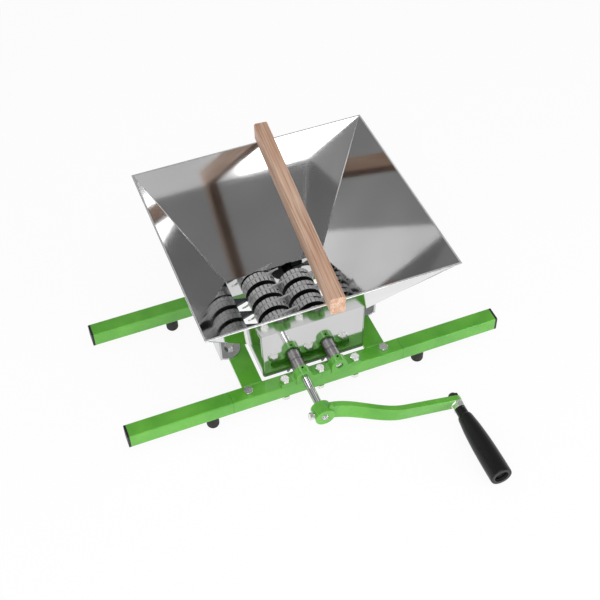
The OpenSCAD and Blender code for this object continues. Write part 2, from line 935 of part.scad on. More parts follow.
// Cutters of one roller
module cutters(first, last, turn) {
  for (i = [first:last])
    across(roller_y + i * pitch, cutter_t - 2 * seat_play)
      cutter_outline(turn);
}

// Spacers between drums, from the gear to the first drum, and from the last drum to the bearing
module spacers(first, last) {
  bore = shaft_d + 2 * seat_play;
  for (i = [first:last - 1])
    round_tube(spacer_d, bore, roller_y + i * pitch + drum_w / 2,
      roller_y + (i + 1) * pitch - drum_w / 2);
  round_tube(spacer_d, bore, -gear_back, roller_y + first * pitch - drum_w / 2);
  round_tube(spacer_d, bore, roller_y + last * pitch + drum_w / 2, boss_back - end_play);
  round_tube(sleeve_d, bore, -boss_back + end_play, -gear_face);
}

module drive_drums() {
  color("#b4b6b8") on_drive() drums(-drum_run, drum_run);
}

module idler_drums() {
  color("#b4b6b8") on_idler() mirror([1, 0, 0]) drums(0.5 - drum_run, drum_run - 0.5);
}

module drive_cutters() {
  color("#d8dadc") on_drive() cutters(-drum_run, drum_run, hook_turn);
}

module idler_cutters() {
  color("#d8dadc") on_idler()
    mirror([1, 0, 0])
      cutters(0.5 - drum_run, drum_run - 0.5, hook_turn + idler_turn);
}

module drive_spacers() {
  color("#9a9c9e") on_drive() spacers(-drum_run, drum_run);
}

module idler_spacers() {
  color("#9a9c9e") on_idler() spacers(0.5 - drum_run, drum_run - 0.5);
}

// Involute of the base circle, and the half angle of a tooth at a given radius
function involute(r) = let (a = acos(min(1, gear_base / r))) tan(a) * PI_DEG - a;
function tooth_half(r) = 90 / teeth - play_turn + involute(gear_r) - involute(max(r, gear_low));
function flank(i, steps) = i == 0 ? gear_root
  : gear_low + (gear_tip - gear_low) * (i - 1) / (steps - 1);

// Toothed outline with one tooth on +X
module gear_outline() {
  steps = 6;
  difference() {
    polygon([
      for (tooth = [0:teeth - 1], side = [-1, 1], k = [0:steps])
        let (i = side < 0 ? k : steps - k, r = flank(i, steps),
          a = tooth * 360 / teeth + side * tooth_half(r))
        [r * cos(a), r * sin(a)]]);
    circle(d = shaft_d + 2 * seat_play, $fn = round_fn);
  }
}

module drive_gear() {
  color("#8f9193") on_drive() across(-gear_y, gear_w) gear_outline();
}

module idler_gear() {
  color("#8f9193") on_idler() across(-gear_y, gear_w) gear_outline();
}

// Turns the crank's parts about the shaft to their resting fall
module on_crank() {
  on_drive() rotate([0, crank_fall, 0]) children();
}

// Forward position of the arm's face at a share of the crank's length
function step_part(share) =
  let (t = (share - step_shares[0]) / (step_shares[1] - step_shares[0]))
  (1 - cos(180 * min(1, max(0, t)))) / 2;
function face_at(share) = root_face + dogleg * step_part(share);

// Arm seen from above: a band of even thickness that steps forward
module arm_plan() {
  count = 16;
  from = step_shares[0];
  to = step_shares[1];
  shares = concat([0], [for (i = [0:count]) from + (to - from) * i / count], [1.1]);
  front = [for (s = shares) [s * crank_r, -face_at(s)]];
  back = [for (i = [len(shares) - 1:-1:0]) let (s = shares[i])
    [s * crank_r, arm_t - face_at(s)]];
  polygon(concat(front, back));
}

// Arm seen from the front: a bar that narrows to its round end
module arm_side() {
  polygon([[0, arm_root_h / 2], [crank_r, arm_end_h / 2], [crank_r, -arm_end_h / 2],
    [0, -arm_root_h / 2]]);
  translate([crank_r, 0]) circle(d = arm_end_h, $fn = round_fn);
}

module crank_arm() {
  color("#4e9e30") on_crank()
    difference() {
      union() {
        intersection() {
          translate([0, 0, -arm_root_h]) linear_extrude(2 * arm_root_h) arm_plan();
          across(-arm_face + dogleg, 4 * dogleg) arm_side();
        }
        round_bar(hub_d, -hub_face, -hub_back);
        translate([0, -set_y, 0])
          rotate([0, 90 - pad_turn, 0])
            cylinder(h = hub_d / 2 + pad_h, d = pad_d, $fn = round_fn);
      }
      round_bar(shaft_d + 2 * seat_play, -hub_face - past, -hub_back + past);
      translate([crank_r, 0, 0])
        round_bar(spindle_d + 2 * seat_play, -arm_face - past, arm_t - arm_face + past);
      translate([0, -set_y, 0])
        rotate([0, -90, 0])
          cylinder(h = hub_d, d = set_d + 2 * seat_play, $fn = round_fn);
    }
}

module set_screw() {
  color("#c8c8c4") on_crank()
    translate([-shaft_d / 2 - seat_play, -set_y, 0])
      rotate([0, -90, 0]) {
        cylinder(h = (hub_d - shaft_d) / 2 + set_out, d = set_d, $fn = round_fn);
        translate([0, 0, (hub_d - shaft_d) / 2 + set_out - past / 2])
          hex_head(set_af, set_head + past / 2);
      }
}

// Space on the crank's outer end
module on_spindle() {
  on_crank() translate([crank_r, 0, 0]) children();
}

// Long bolt with its head in the grip's hollow end and its thread in the domed nut
module handle_spindle() {
  color("#b5b7b9") on_spindle() {
    round_bar(spindle_d, -spindle_head - 2 * end_play, arm_t - arm_face + dome_h / 2);
    translate([0, -spindle_head - end_play, 0])
      rotate([90, 0, 0])
        hex_head(spindle_af, hollow_len - ring_len - 2 * end_play);
  }
}

module spindle_nut() {
  color("#c8c8c4") on_spindle()
    difference() {
      translate([0, -arm_face - washer_t, 0])
        rotate([90, 0, 0]) hex_head(spindle_af, spindle_nut_h);
      round_bar(spindle_d + 2 * seat_play, -grip_at, -arm_face);
    }
}

module spindle_washers() {
  bore = spindle_d + 2 * seat_play;
  color("#c8c8c4") on_spindle() {
    round_tube(washer_d, bore, -arm_face - washer_t, -arm_face);
    round_tube(washer_d, bore, end_play - grip_at, washer_t + end_play - grip_at);
  }
}

// Six sided foot with a round cap, behind the arm
module dome_nut() {
  foot = dome_h - spindle_af / 2 * cos(30);
  color("#1b1b1b") on_spindle()
    difference() {
      translate([0, arm_t - arm_face, 0])
        rotate([-90, 0, 0]) {
          hex_head(spindle_af, foot + past / 2);
          translate([0, 0, foot])
            intersection() {
              sphere(d = spindle_af * cos(30), $fn = round_fn);
              cylinder(h = dome_h, d = spindle_af, $fn = round_fn);
            }
        }
      round_bar(spindle_d + 2 * seat_play, -arm_face, arm_t - arm_face + dome_h / 2 + past / 4);
    }
}

// Smooth outline through the grip's table, as radius shares at even steps of a length share
function smooth(p, i, t) =
  let (a = p[max(i - 1, 0)], b = p[i], c = p[i + 1], d = p[min(i + 2, len(p) - 1)])
  (b * 2 + (c - a) * t + (a * 2 - b * 5 + c * 4 - d) * t * t
    + (b * 3 - a - c * 3 + d) * t * t * t) / 2;

module grip() {
  outline = [for (i = [0:len(grip_shares) - 2], t = [0, 0.5]) smooth(grip_shares, i, t)];
  end = grip_shares[len(grip_shares) - 1];
  points = [for (p = concat(outline, [end])) [p[1] * grip_d / 2, p[0] * grip_len]];
  color("#222222") on_spindle()
    difference() {
      translate([0, -grip_at, 0])
        rotate([90, 0, 0])
          rotate_extrude($fn = round_fn)
            polygon(concat([[0, 0]], points, [[0, grip_len]]));
      round_bar(spindle_d + 2 * running_fit, -grip_end, -grip_at + past);
      round_bar(hollow_d, -grip_end - past, -spindle_head);
    }
}

module grip_end_ring() {
  color("#333333") on_spindle()
    round_tube(hollow_d - 2 * seat_play, hollow_d - 2 * ring_wall, -grip_end,
      ring_len - grip_end);
}

module pusher_bar() {
  color("#d2a67e") placed()
    translate([bar_x, -bar_y, rim_h + bar_gap + bar_h / 2])
      rotate([0, 0, -bar_skew])
        rotate([90, 0, 0])
          linear_extrude(bar_all, center = true)
            soft_rect(bar_w, bar_h, bar_round);
}

front_tube();
rear_tube();
left_rail();
right_rail();
front_left_arm();
front_right_arm();
rear_left_arm();
rear_right_arm();
arm_end_caps();
rubber_feet();
lock_bolts();
lock_nuts();
front_left_bearing();
front_right_bearing();
rear_left_bearing();
rear_right_bearing();
bearing_bolts();
bearing_nuts();
box_front_wall();
box_back_wall();
box_left_wall();
box_right_wall();
gear_partition();
hopper_left_wall();
hopper_right_wall();
hopper_back_wall();
hopper_front_wall();
left_bracket();
right_bracket();
bracket_bolts();
bracket_nuts();
left_comb();
right_comb();
drive_shaft();
drive_drums();
drive_cutters();
drive_spacers();
drive_gear();
crank_arm();
set_screw();
handle_spindle();
spindle_nut();
spindle_washers();
dome_nut();
idler_shaft();
idler_drums();
idler_cutters();
idler_spacers();
idler_gear();
grip();
grip_end_ring();
pusher_bar();
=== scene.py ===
# Hand cranked fruit scratter: a bright steel hopper over two geared rollers on a green tube
# frame. All lengths are metres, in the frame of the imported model, unless a line says mm.
import math

import bpy
import numpy as np
from mathutils import Matrix, Vector


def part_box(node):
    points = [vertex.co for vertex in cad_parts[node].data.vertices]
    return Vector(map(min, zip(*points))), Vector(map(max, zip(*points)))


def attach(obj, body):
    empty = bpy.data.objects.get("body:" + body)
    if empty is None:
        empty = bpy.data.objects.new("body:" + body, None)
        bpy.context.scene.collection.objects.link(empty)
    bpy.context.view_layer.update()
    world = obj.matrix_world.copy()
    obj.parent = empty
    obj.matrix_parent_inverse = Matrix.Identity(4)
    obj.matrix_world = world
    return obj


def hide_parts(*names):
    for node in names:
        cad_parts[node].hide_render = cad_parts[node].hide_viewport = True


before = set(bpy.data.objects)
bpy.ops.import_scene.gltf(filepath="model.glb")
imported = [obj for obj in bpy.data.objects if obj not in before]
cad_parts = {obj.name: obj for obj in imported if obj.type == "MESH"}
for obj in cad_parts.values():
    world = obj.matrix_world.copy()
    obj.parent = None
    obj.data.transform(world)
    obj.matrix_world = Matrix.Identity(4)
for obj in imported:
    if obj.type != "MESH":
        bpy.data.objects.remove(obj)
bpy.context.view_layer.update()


# The camera stands before the crank side, to the left and well above, as in the photograph.
# It was fitted to the straight edges of the tubes, the box and the rim.
photo_width = 600
focal_pixels = 1113
eye = Vector((-0.389049, -1.004048, 1.380166))
look_right = (0.930426, -0.365941, -0.019852)
look_up = (0.283158, 0.683444, 0.672849)
look_back = (-0.232655, -0.631658, 0.739514)
camera_data = bpy.data.cameras.new("camera")
camera_data.sensor_fit = "HORIZONTAL"
camera_data.sensor_width = 36.0
camera_data.lens = focal_pixels / photo_width * camera_data.sensor_width
camera = bpy.data.objects.new("camera", camera_data)
turned = Matrix((look_right, look_up, look_back)).transposed().to_4x4()
camera.matrix_world = Matrix.Translation(eye) @ turned
bpy.context.scene.collection.objects.link(camera)
bpy.context.scene.camera = camera
bpy.context.scene.view_settings.view_transform = "Standard"


# Pale studio floor: a wide white sheet under the feet. It shows nearly white to the camera and
# in the polished steel, and still takes the object's soft shadow.
def linear(hex_code):
    """Linear colour of an sRGB hex code: ((c + 0.055) / 1.055) ** 2.4, or c / 12.92 when dark."""
    levels = (int(hex_code[i:i + 2], 16) / 255 for i in (1, 3, 5))
    return (*(c / 12.92 if c <= 0.04045 else ((c + 0.055) / 1.055) ** 2.4 for c in levels), 1.0)


def add(tree, kind, inputs=(), **properties):
    """Adds one shader node with its own properties. inputs gives some of its inputs, by name, or
    by number where several share a name, a plain value or the output that feeds it."""
    made = tree.nodes.new(kind)
    for name, value in properties.items():
        setattr(made, name, value)
    for name, value in dict(inputs).items():
        if isinstance(value, bpy.types.NodeSocket):
            tree.links.new(value, made.inputs[name])
        else:
            made.inputs[name].default_value = value
    return made


def empty_material(name):
    """A material with no nodes but its output."""
    material = bpy.data.materials.new(name)
    material.use_nodes = True
    material.node_tree.nodes.clear()
    return material, material.node_tree, material.node_tree.nodes.new("ShaderNodeOutputMaterial")


floor_reach = 9.0
sheet_grey = 0.9
glow_level = 1.03
glow_share = 0.88  # of what the camera and the polished steel see; the rest takes the shadow
floor_white, tree, out = empty_material("studio_floor")
lit = add(tree, "ShaderNodeBsdfDiffuse", {"Color": (sheet_grey, sheet_grey, sheet_grey, 1)})
glow = add(tree, "ShaderNodeEmission", {"Color": (1, 1, 1, 1), "Strength": glow_level})
path = add(tree, "ShaderNodeLightPath").outputs
seen = add(tree, "ShaderNodeMath", {0: path["Is Camera Ray"], 1: path["Is Glossy Ray"]},
           operation="MAXIMUM")
share = add(tree, "ShaderNodeMath", {0: seen.outputs[0], 1: glow_share}, operation="MULTIPLY")
mixed = add(tree, "ShaderNodeMixShader",
            {"Fac": share.outputs[0], 1: lit.outputs[0], 2: glow.outputs[0]})
tree.links.new(mixed.outputs[0], out.inputs["Surface"])
floor_mesh = bpy.data.meshes.new("studio_floor")
floor_corners = np.array([(-1, -1, 0), (1, -1, 0), (1, 1, 0), (-1, 1, 0)]) * floor_reach
floor_mesh.from_pydata(floor_corners.tolist(), [], [(0, 1, 2, 3)])
floor_mesh.materials.append(floor_white)
floor = bpy.data.objects.new("studio_floor", floor_mesh)
bpy.context.scene.collection.objects.link(floor)


# Studio light: a pale room that darkens overhead, a low bright panel before the object's right,
# a soft box above its front, a dimmer panel on its left and a key lamp near the camera. The
# polished hopper shows them as its bright and dark fields.
room_heights = (0.02, 0.3, 0.62)  # sines of the angle above the horizon
room_levels = (0.92, 0.52, 0.4)
room_strength = 0.95
backdrop_level = 1.053  # white to the camera, after the strength
world = bpy.data.worlds.new("studio")
world.use_nodes = True
bpy.context.scene.world = world
tree = world.node_tree
tree.nodes.clear()
way = add(tree, "ShaderNodeTexCoord").outputs["Generated"]
height = add(tree, "ShaderNodeSeparateXYZ", {"Vector": way}).outputs["Z"]
room = add(tree, "ShaderNodeValToRGB", {"Fac": height})
stops = room.color_ramp.elements
stops.new(room_heights[1])
for stop, position, level in zip(stops, room_heights, room_levels):
    stop.position = position
    stop.color = (level, level, level, 1)
path = add(tree, "ShaderNodeLightPath").outputs
shown = add(tree, "ShaderNodeMix", {"Factor": path["Is Camera Ray"], 6: room.outputs["Color"],
                                    7: (backdrop_level, backdrop_level, backdrop_level, 1)},
            data_type="RGBA")
sky = add(tree, "ShaderNodeBackground", {"Color": shown.outputs[2], "Strength": room_strength})
add(tree, "ShaderNodeOutputWorld", {"Surface": sky.outputs[0]})


def soft_lamp(name, at, aim, wide, high, watts):
    """Area lamp of the given size at one point, turned towards another."""
    data = bpy.data.lights.new(name, "AREA")
    data.shape = "RECTANGLE"
    data.size = wide
    data.size_y = high
    data.energy = watts
    lamp = bpy.data.objects.new(name, data)
    lamp.location = at
    lamp.rotation_euler = (Vector(aim) - Vector(at)).to_track_quat("-Z", "Y").to_euler()
    bpy.context.scene.collection.objects.link(lamp)


hopper_middle = (0, 0, 0.2)
rollers = (0, 0, 0.15)
soft_lamp("low_panel", (1.6, -2.05, 0.45), hopper_middle, wide=2.4, high=1.1, watts=30)
soft_lamp("front_box", (0.08, -0.93, 2.2), hopper_middle, wide=1.5, high=1.3, watts=10)
soft_lamp("left_panel", (-2.05, -1.6, 0.57), hopper_middle, wide=2.2, high=1.4, watts=15)
soft_lamp("key_lamp", (-1.0, -1.87, 2.12), rollers, wide=0.8, high=0.8, watts=16)


# The tube frame: two middle tubes with four bolted arms, and two flat rails welded flush between
# the tubes. It is square steel tube and flat bar, powder coated in one glossy apple green.
def grain(tree, sizes, detail, turn=0.0):
    """Noise from 0 to 1 at the position divided by the sizes of its features in mm, which are one
    number, or one each for x, y and z. Its y axis lies turn degrees clockwise of the frame's."""
    at = tree.nodes["position"].outputs["Object"]
    place = add(tree, "ShaderNodeMapping",
                {"Vector": at, "Scale": tuple(np.broadcast_to(sizes, 3) / 1000),
                 "Rotation": (0.0, 0.0, -math.radians(turn))}, vector_type="TEXTURE")
    pattern = add(tree, "ShaderNodeTexNoise",
                  {"Vector": place.outputs[0], "Scale": 1.0, "Detail": detail})
    return pattern.outputs["Fac"]


def surface(name, tint, gloss=None, relief=None, between=(0.3, 0.7), **finish):
    """A principled surface. tint, gloss and relief each start with a grain: its sizes, detail and
    turn. The colour runs from tint's first hex colour to its second as the grain goes between two
    values, the roughness runs from gloss's first value to its second, and relief has the strength
    of a bump and its depth in mm. finish has the shader's plain inputs."""
    material, tree, out = empty_material(name)
    inputs = {key.replace("_", " "): value for key, value in finish.items()}
    inputs["Base Color"] = linear(tint[1])  # for a viewer that reads no nodes
    shader = add(tree, "ShaderNodeBsdfPrincipled", inputs, name="shader")
    tree.links.new(shader.outputs[0], out.inputs["Surface"])
    add(tree, "ShaderNodeTexCoord", name="position")
    kinds = {part[0] for part in (tint, gloss, relief) if part}
    grains = {kind: grain(tree, *kind) for kind in kinds}
    ramp = add(tree, "ShaderNodeValToRGB", {"Fac": grains[tint[0]]})
    for stop, position, colour in zip(ramp.color_ramp.elements, between, tint[1:]):
        stop.position = position
        stop.color = linear(colour)
    tree.links.new(ramp.outputs["Color"], shader.inputs["Base Color"])
    if gloss:
        span = add(tree, "ShaderNodeMapRange",
                   {"Value": grains[gloss[0]], "To Min": gloss[1], "To Max": gloss[2]})
        tree.links.new(span.outputs["Result"], shader.inputs["Roughness"])
    if relief:
        bump = add(tree, "ShaderNodeBump", {"Height": grains[relief[0]], "Strength": relief[1],
                                            "Distance": relief[2] / 1000})
        tree.links.new(bump.outputs["Normal"], shader.inputs["Normal"])
    return material


def cover(material, *names):
    """Gives one material to the CAD nodes with these names."""
    for name in names:
        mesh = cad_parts[name].data
        mesh.materials.clear()
        mesh.materials.append(material)


# powder coat, sprayed and baked: an even gloss with soft edges to its highlights. It is a little
# thicker in patches 38 mm across, and has an orange peel of 1.1 mm.
patches = (38.5, 3.0)
orange_peel = (1.11, 2.0)
green_coat = surface("green_powder_coat", tint=(patches, "#50a524", "#66ba34"),
                     gloss=(orange_peel, 0.24, 0.4), relief=(orange_peel, 0.22, 0.08),
                     Coat_Weight=0.6, Coat_Roughness=0.07)
cover(green_coat, "front_tube", "rear_tube", "left_rail", "right_rail", "front_left_arm",
      "front_right_arm", "rear_left_arm", "rear_right_arm")


# Weld seams: eight beads of steel, run by hand over and under the rails' ends, where they meet
# the middle tubes, and coated with the frame.
bead_width = 0.005
bead_height = 0.0011
bead_inset = 0.001  # from the rail's sides
puddle = 0.0022     # from one puddle of the weld to the next
puddle_swell = 0.14
tapered = 0.003     # length over which a bead's end runs out
bead_step = 0.0003  # between two rings of the mesh
bead_points = 14    # in a ring
least_fade = 0.02   # so that a bead's ends keep a face


def grid_piece(name, points, material, body, looped=False, smooth=True):
    """Mesh object over a grid of points, rows by columns. A row's last point joins its first, and
    the outer rows are closed with a face each, or joined to each other where it is looped."""
    rows, around = points.shape[:2]
    cells = np.arange(rows * around).reshape(rows, around)
    if looped:
        cells = np.concatenate([cells, cells[:1]])
    beside = np.roll(cells, -1, axis=1)
    faces = np.stack([cells[:-1], beside[:-1], beside[1:], cells[1:]], axis=-1)
    faces = faces.reshape(-1, 4).tolist()
    if not looped:
        faces += [cells[0, ::-1].tolist(), cells[-1].tolist()]
    mesh = bpy.data.meshes.new(name)
    mesh.from_pydata(points.reshape(-1, 3).tolist(), [], faces)
    mesh.polygons.foreach_set("use_smooth", np.full(len(mesh.polygons), smooth))
    mesh.materials.append(material)
    piece = bpy.data.objects.new(name, mesh)
    bpy.context.scene.collection.objects.link(piece)
    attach(piece, body)
    return piece


def weld_seam(name, start, end):
    """Bead along a line on a level surface. It is an ellipse, half sunk. Its size is 1 plus
    puddle_swell times cos(2 pi s / puddle) along it, and runs out at its ends with the root of
    the distance from them."""
    start, end = np.array(start), np.array(end)
    length = np.linalg.norm(end - start)
    along = (end - start) / length
    side = np.cross((0, 0, 1), along)
    s = np.linspace(0, length, int(length / bead_step))
    swell = 1 + puddle_swell * np.cos(2 * np.pi * s / puddle)
    fade = np.sqrt(np.clip(np.minimum(s, length - s) / tapered, least_fade, 1))
    turn = np.linspace(0, 2 * np.pi, bead_points, endpoint=False)[None, :, None]
    ring = np.cos(turn) * side * bead_width / 2 + np.sin(turn) * np.array((0, 0, bead_height))
    points = start + s[:, None, None] * along + (swell * fade)[:, None, None] * ring
    grid_piece(name, points, green_coat, "frame")


for rail in ("left_rail", "right_rail"):
    low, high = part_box(rail)
    left, right = low[0] + bead_inset, high[0] - bead_inset
    for place, y in (("front", low[1]), ("rear", high[1])):
        for level, z in (("upper", high[2]), ("lower", low[2])):
            weld_seam(f"{rail}_{place}_{level}_weld", (left, y, z), (right, y, z))


# Caps of moulded black plastic are pushed into the arms' ends. The plastic is dull, with the
# fine spark grain of its mould, drawn 1.4 mm wide so that it shows.
spark_grain = (1.43, 2.0)
black_plastic = surface("black_moulded_plastic", tint=(spark_grain, "#121213", "#202022"),
                        gloss=(spark_grain, 0.36, 0.55), relief=(spark_grain, 0.3, 0.1))
cover(black_plastic, "arm_end_caps")


# Four round feet of moulded black rubber, screwed under the arms. The rubber is matt, with
# greyer spots of dust 3 mm wide.
dust = (3.33, 4.0)
black_rubber = surface("moulded_black_rubber", tint=(dust, "#0f0f0f", "#262625"),
                       relief=(dust, 0.3, 0.2), Roughness=0.7)
cover(black_rubber, "rubber_feet")


# Bearing castings: four cast iron plummer blocks with an oil hole in each boss, bolted on the
# middle tubes and painted as the frame.
middle_x = 0.0025     # of the tubes, the box and the two shafts
middle_y = 0.0917
shaft_reach = 0.0285  # from the middle to each shaft
oil_reach = 0.112     # from the middle to the oil holes, front and rear
dark_hole_radius = 0.0018


# used for real grain and for painted shade alike
def recolour(tree, mask, colour):
    """Turns the base colour into another hex colour where the mask is 1."""
    base = tree.nodes["shader"].inputs["Base Color"]
    mixed = add(tree, "ShaderNodeMix", {"Factor": mask, 6: base.links[0].from_socket,
                                        7: linear(colour)}, data_type="RGBA")
    tree.links.new(mixed.outputs[2], base)


def distance(tree, middle, reach, axes):
    """Distance of the position from the nearest of the lines that lie reach to either side of a
    middle: the length of (|position - middle| - reach) along the axes that are 1."""
    at = tree.nodes["position"].outputs["Object"]
    for operation, by in (("SUBTRACT", middle), ("ABSOLUTE", (0, 0, 0)), ("SUBTRACT", reach),
                          ("MULTIPLY", axes)):
        at = add(tree, "ShaderNodeVectorMath", {0: at, 1: by}, operation=operation).outputs[0]
    return add(tree, "ShaderNodeVectorMath", {0: at}, operation="LENGTH").outputs["Value"]


# enamel brushed on a sand casting: the same green, unevenly thick over 25 mm, and dimpled by the
# cast skin's lumps of 2.4 mm. The oil holes are painted black, in discs 1.8 mm in radius.
brushed_coat = (25.0, 3.0)
cast_skin = (2.38, 4.0)
cast_iron = surface("painted_cast_iron", tint=(brushed_coat, "#4ba024", "#62b534"),
                    gloss=(cast_skin, 0.26, 0.48), relief=(cast_skin, 0.35, 0.35),
                    Coat_Weight=0.5, Coat_Roughness=0.1)
tree = cast_iron.node_tree
hole = distance(tree, (middle_x, middle_y, 0), (shaft_reach, oil_reach, 0), (1, 1, 0))
# the oil holes are painted black
dark_hole = add(tree, "ShaderNodeMath", {0: hole, 1: dark_hole_radius}, operation="LESS_THAN")
recolour(tree, dark_hole.outputs[0], "#050505")
cover(cast_iron, "front_left_bearing", "front_right_bearing", "rear_left_bearing",
      "rear_right_bearing")


# Zinc plated steel bolts, nuts and washers hold the arms, the castings, the brackets and the
# crank's grip. The plating is bright, with a faint grey bloom in spots of 2.4 mm.
bloom = (2.38, 3.0)
zinc = surface("bright_zinc_plate", tint=(bloom, "#d6d7d4", "#fafaf6"),
               gloss=(bloom, 0.14, 0.32), Metallic=1.0)
cover(zinc, "lock_bolts", "lock_nuts", "bearing_nuts", "bracket_bolts", "bracket_nuts",
      "set_screw", "spindle_nut", "spindle_washers")


# Bearing bolts: six M8 hexagon bolts of the same plated steel, with rolled threads, put down
# through the castings and the middle tubes. They stand for the CAD's longer ones.
bolt_gap = 0.057      # as the two shafts
front_bolts_y = -0.0203
rear_bolts_y = 0.2037
bolt_seat = 0.06002   # top of the castings' lugs, and a hair
flats = 0.013         # across the head's flats
thread_root = 0.0038
thread_depth = 0.00046
thread_pitch = 0.00125
bolt_points = 48      # in a ring of the mesh
tail_rings = 20
tail_tip = 0.018
tail_top = 0.0215     # inside the nut
tip_radius = 0.0034
tip_slope = 0.7       # of the cone at the tip
# each ring of shank, washer face, head and chamfer: mm above the seat, and its greatest radius
head_rings = ((0, 3.9), (0, 6.4), (0.28, 6.4), (0.28, 7.6), (4.28, 7.6), (4.78, 7.2), (5.28, 6.1))


def bearing_bolt(name, x, y):
    """Bolt, as a radius for each height z and angle a. The tail's is the root and half the depth
    of the thread times 1 + cos(2 pi z / pitch - a), cut by a cone at its tip. The head's is half
    the flats / cos(b), where b is the angle from the middle of a flat, cut by its rings."""
    turn = np.linspace(0, 2 * np.pi, bolt_points, endpoint=False)
    tail = np.linspace(tail_tip, tail_top, tail_rings)[:, None]
    wave = 1 + np.cos(2 * np.pi * tail / thread_pitch - turn)
    cone = tip_radius + tip_slope * (tail - tail_tip)
    thread = np.minimum(thread_root + thread_depth / 2 * wave, cone)
    rise, limit = np.array(head_rings).T[:, :, None] / 1000
    hexagon = flats / 2 / np.cos(np.mod(turn, np.pi / 3) - np.pi / 6)
    radius = np.concatenate([thread, np.minimum(limit, hexagon)])
    z = np.broadcast_to(np.concatenate([tail, bolt_seat + rise]), radius.shape)
    points = np.stack([x + radius * np.cos(turn), y + radius * np.sin(turn), z], axis=-1)
    bolt = grid_piece(name, points, zinc, "frame", smooth=False)
    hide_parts("bearing_bolts")


for place, y in (("front", front_bolts_y), ("rear", rear_bolts_y)):
    for count in (1, 2, 3):
        bearing_bolt(f"{place}_bearing_bolt_{count}", middle_x + (count - 2) * bolt_gap, y)


# Box and hopper: thin stainless sheet, mirror polished, then cut, folded and spot welded. The
# box stands between the rails, and the hopper's four slopes end in its mouth.

# mirror polish: sharp reflections that bend a little over waves 143 mm long, and are blurred a
# little by polishing lines. Those are drawn 1.1 mm apart, coarser than the real ones, to show.
sheet_waves = (143.0, 1.0)
polishing = ((25.0, 25.0, 1.11), 3.0)
mirror_steel = surface("polished_stainless_sheet", tint=(sheet_waves, "#c8c8c8", "#d5d5d5"),
                       gloss=(polishing, 0.04, 0.12), relief=(sheet_waves, 0.1, 0.6),
                       Metallic=1.0)
cover(mirror_steel, "box_front_wall", "box_back_wall", "box_left_wall", "box_right_wall",
      "gear_partition", "hopper_left_wall", "hopper_right_wall", "hopper_back_wall",
      "hopper_front_wall")


# Hem and corner seams: the rim is rolled over a wire, and each corner of the hopper is closed by
# a fine ground seam. Both are the hopper's own stainless steel.
rim_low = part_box("hopper_left_wall")[0]
rim_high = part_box("hopper_right_wall")[1]
throat_x = (-0.0793, 0.0843)
throat_y = (0.0387, 0.179)
throat_z = 0.0918
hem_radius = 0.0016
hem_inset = 0.0013   # from the rim's outside
hem_drop = 0.0014    # from its top
seam_radius = 0.0009
seam_inset = 0.0025
seam_drop = 0.001
steel_points = 10    # in a ring of the mesh
# ground edge: satin, paler than the polished sheet, with rub marks of 3.8 mm
rubbed = (3.85, 3.0)
ground_edge = surface("ground_stainless_edge", tint=(rubbed, "#dadbdb", "#fafafa"),
                      gloss=(rubbed, 0.3, 0.5), Metallic=0.75)


def rim_corner(side, end, inset, drop):
    """Corner of the rim, left or right and front or back (0 or 1), moved inwards and down."""
    x = (rim_low[0] + inset, rim_high[0] - inset)[side]
    y = (rim_low[1] + inset, rim_high[1] - inset)[end]
    return x, y, rim_high[2] - drop


def steel_bead(name, corners, radius, looped):
    """Round bead along straight runs between corner points. Each corner has a ring of points on a
    circle square to its run, slid along the run into the plane that halves the corner."""
    corners = np.array(corners)
    runs = np.roll(corners, -1, axis=0) - corners
    runs[-1] = runs[-1] if looped else runs[-2]
    runs /= np.linalg.norm(runs, axis=1)[:, None]
    before = np.roll(runs, 1, axis=0)
    before[0] = before[0] if looped else runs[0]
    side = np.cross((0, 0, 1), runs)
    side /= np.linalg.norm(side, axis=1)[:, None]
    over = np.cross(runs, side)
    turn = np.linspace(0, 2 * np.pi, steel_points, endpoint=False)[None, :, None]
    ring = radius * (np.cos(turn) * side[:, None] + np.sin(turn) * over[:, None])
    plane = runs + before
    slide = -np.einsum("ijk,ik->ij", ring, plane) / np.einsum("ik,ik->i", runs, plane)[:, None]
    points = corners[:, None] + ring + slide[..., None] * runs[:, None]
    grid_piece(name, points, ground_edge, "frame", looped)


around_rim = ((0, 0), (1, 0), (1, 1), (0, 1))
hem_corners = [rim_corner(side, end, hem_inset, hem_drop) for side, end in around_rim]
steel_bead("hopper_rim_hem", hem_corners, hem_radius, looped=True)
for end, end_name in enumerate(("front", "back")):
    for side, side_name in enumerate(("left", "right")):
        foot = (throat_x[side], throat_y[end], throat_z)
        top = rim_corner(side, end, seam_inset, seam_drop)
        steel_bead(f"hopper_{end_name}_{side_name}_seam", [foot, top], seam_radius, looped=False)


# Brackets: two plates of the same stainless steel, folded and bolted on the rails to carry the
# hopper. They are brushed, with lines 0.7 mm apart, coarser than the real ones, to show.
brushing = ((16.7, 16.7, 0.667), 3.0)
brushed_plate = surface("brushed_stainless_plate", tint=(brushing, "#c4c5c6", "#d6d7d7"),
                        gloss=(brushing, 0.16, 0.26), Metallic=1.0)
cover(brushed_plate, "left_bracket", "right_bracket")


# Scraper combs: two 4.5 mm plates of rolled stainless steel with cut teeth, between which the
# hooks pass. They are dull and dark, with mill lines 1.1 mm apart along them.
mill_lines = ((1.11, 16.7, 1.11), 3.0)
rolled_plate = surface("rolled_stainless_plate", tint=(mill_lines, "#4b4e50", "#6c6f72"),
                       gloss=(mill_lines, 0.25, 0.45), Metallic=1.0)
cover(rolled_plate, "left_comb", "right_comb")


# Drums: cast aluminium rings, turned and fluted, in halves that clamp the cutters on each shaft.
# Their rims are bright and half matt. Their flutes are painted darker grey and their flanks near
# black: painted shade in the flutes and in the gaps between the drums.
shaft_z = 0.0654
flute_top = 0.0276     # radius at which the painted shade begins
flute_bottom = 0.027
flank_slope = 0.7      # a face whose normal has more than this along the shaft is a flank
